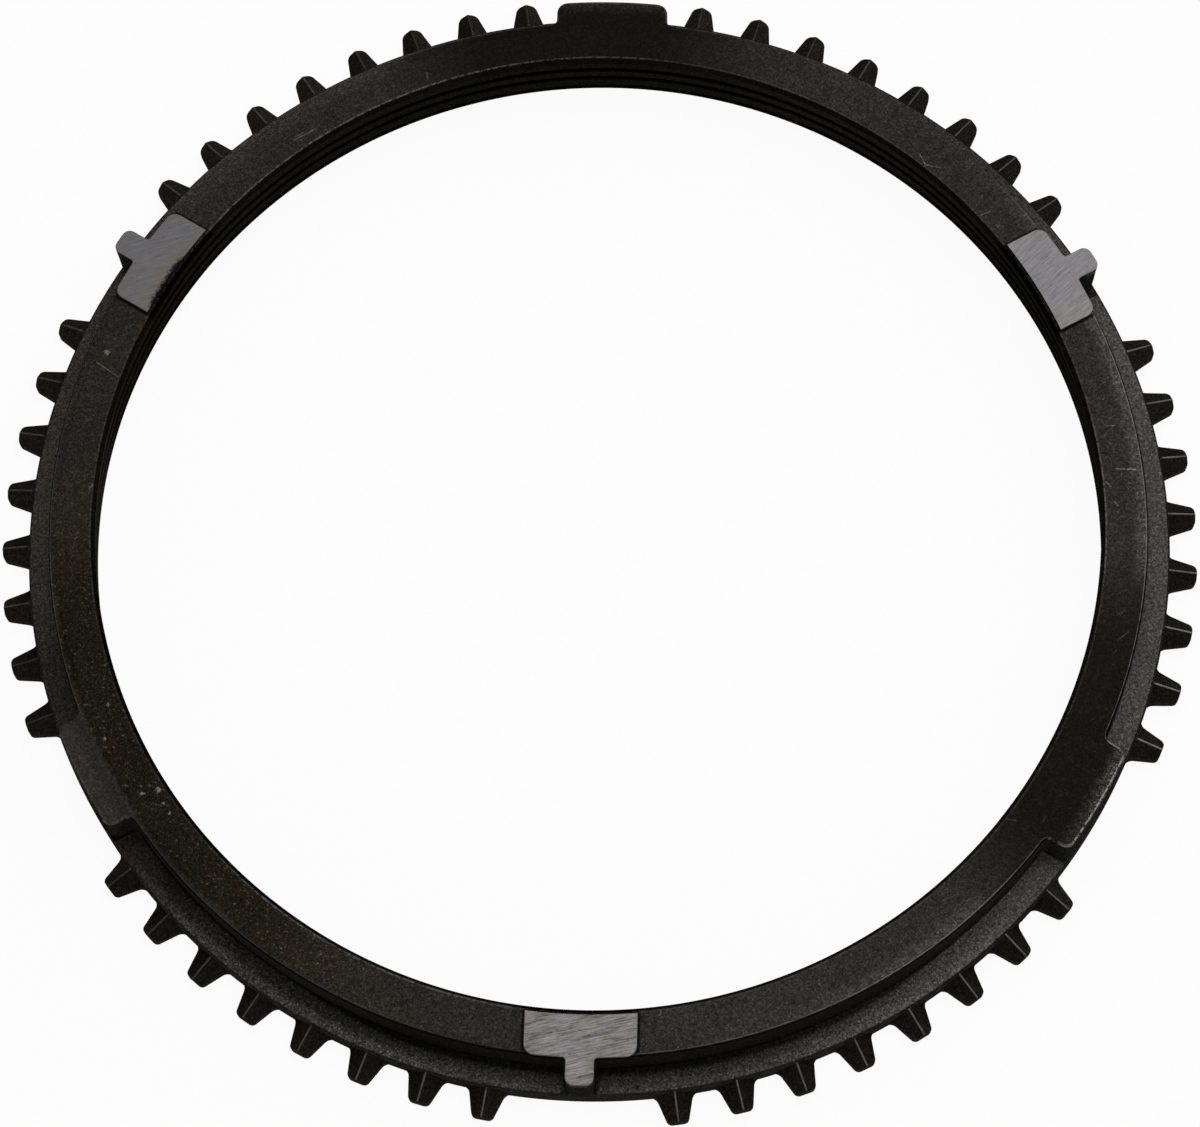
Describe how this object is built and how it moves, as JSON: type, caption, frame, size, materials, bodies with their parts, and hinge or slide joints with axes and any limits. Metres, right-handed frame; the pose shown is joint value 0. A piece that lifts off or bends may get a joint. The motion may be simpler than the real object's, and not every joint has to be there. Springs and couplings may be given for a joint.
{
  "type": "synchronizer ring",
  "caption": "Thin gearbox synchronizer ring with a grooved cone bore, groups of pointed outer dog teeth, stepped lugs and raised T-shaped ground pads.",
  "frame": {"origin": "on the ring's axis, in the plane of its bottom face", "axes": "+Z along the ring's axis, out of the face with the T pads; -Y through the middle of a T pad, +Y through the middle of the lug opposite"},
  "size_m": [0.1858, 0.184, 0.0128],
  "materials": {
    "blackened_steel": "dark blackened steel with a fine grain, bright ground T pads and worn edges"
  },
  "bodies": {
    "root": {"synchronizer_ring": "blackened_steel"}
  },
  "joints": []
}
